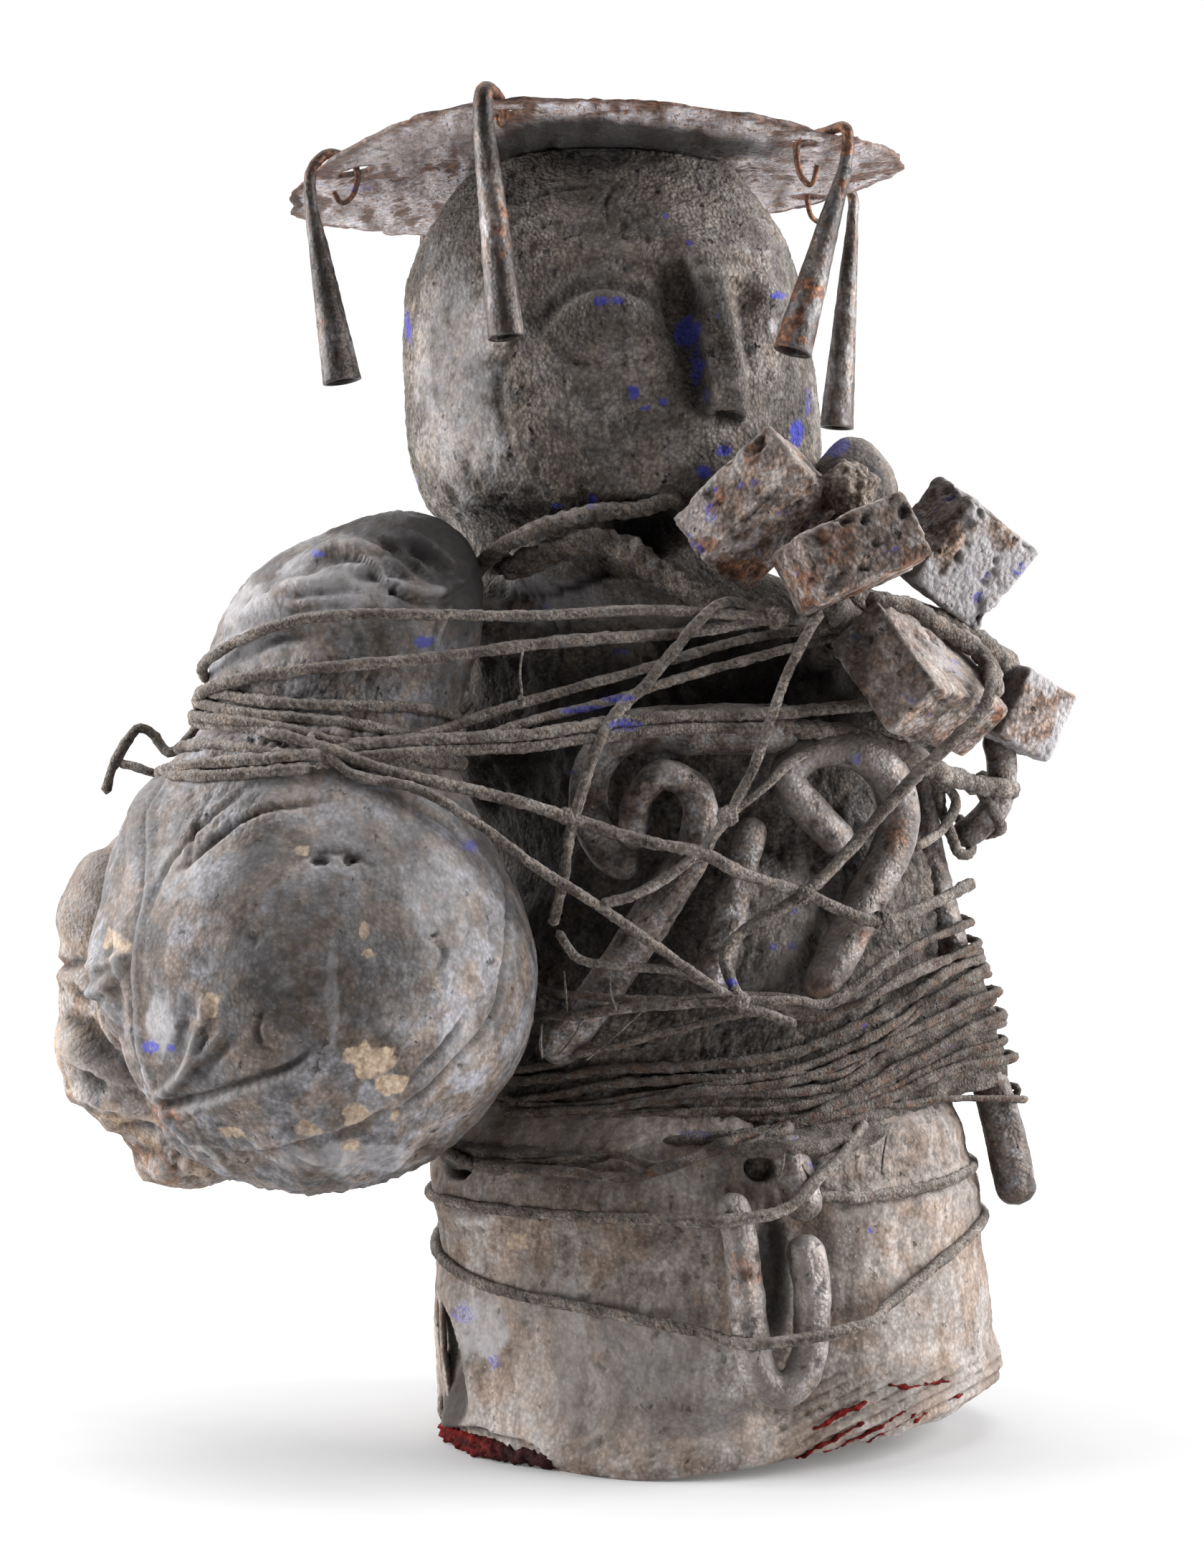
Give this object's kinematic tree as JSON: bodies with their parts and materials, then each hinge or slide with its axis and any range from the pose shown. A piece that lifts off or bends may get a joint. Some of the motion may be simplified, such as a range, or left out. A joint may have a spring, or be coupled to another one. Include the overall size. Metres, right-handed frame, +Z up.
{
  "type": "power figure",
  "caption": "Carved, earth-crusted standing figure under a sheet-iron disc hat with rolled pendants, a hide-covered gourd and iron pieces lashed to its trunk with cord.",
  "frame": {"origin": "middle of the flat underside of the hide-wrapped base, on the surface it stands on", "axes": "+Z up through the figure, -Y towards the viewer of the front, +X towards the shoulder that carries the blocks"},
  "size_m": [0.3052, 0.2294, 0.3947],
  "materials": {
    "crusted_wood": "carved wood under a thick matt crust of dried earth, with traces of blue",
    "hide": "stiff dusty hide, grey-brown with tan patches and a pale bloom",
    "bundle_cloth": "crusted cloth and hide, tattered, brown to orange-brown",
    "rusted_sheet": "thin sheet iron, grey with rust-brown streaks",
    "rolled_iron": "dark rusted sheet iron, matt",
    "forged_iron": "forged iron, dusty brown, rust orange at the worn edges",
    "block_iron": "pitted and rusted, grey-brown with red and orange rust",
    "cord": "plied plant-fibre cord crusted with earth",
    "red_cloth": "torn red cloth, dusty",
    "blue_wood": "dusty wood with deep blue pigment",
    "earth_lump": "broken lump of baked earth, granular"
  },
  "bodies": {
    "root": {"carved_figure": "crusted_wood", "neck_cord": "cord", "chest_strap": "cord", "base_wrap": "hide", "red_cloth": "red_cloth", "string_knot": "cord", "hat_disc": "rusted_sheet", "gourd": "hide", "cloth_bundle": "bundle_cloth", "ball_ended_piece": "blue_wood", "broken_lump": "earth_lump", "belly_lashing": "cord", "base_lashing": "cord", "chest_lashing": "cord", "pendant_1": "rolled_iron", "pendant_2": "rolled_iron", "pendant_3": "rolled_iron", "pendant_4": "rolled_iron", "pendant_5": "rolled_iron", "pendant_6": "rolled_iron", "block_1": "block_iron", "block_2": "block_iron", "block_3": "block_iron", "block_4": "block_iron", "block_5": "block_iron", "hook_right": "forged_iron", "hook_left": "forged_iron", "hook_link": "forged_iron", "dark_bar": "forged_iron", "long_rod": "forged_iron", "block_hook": "forged_iron", "u_hook": "forged_iron", "short_rod": "forged_iron"}
  },
  "joints": []
}
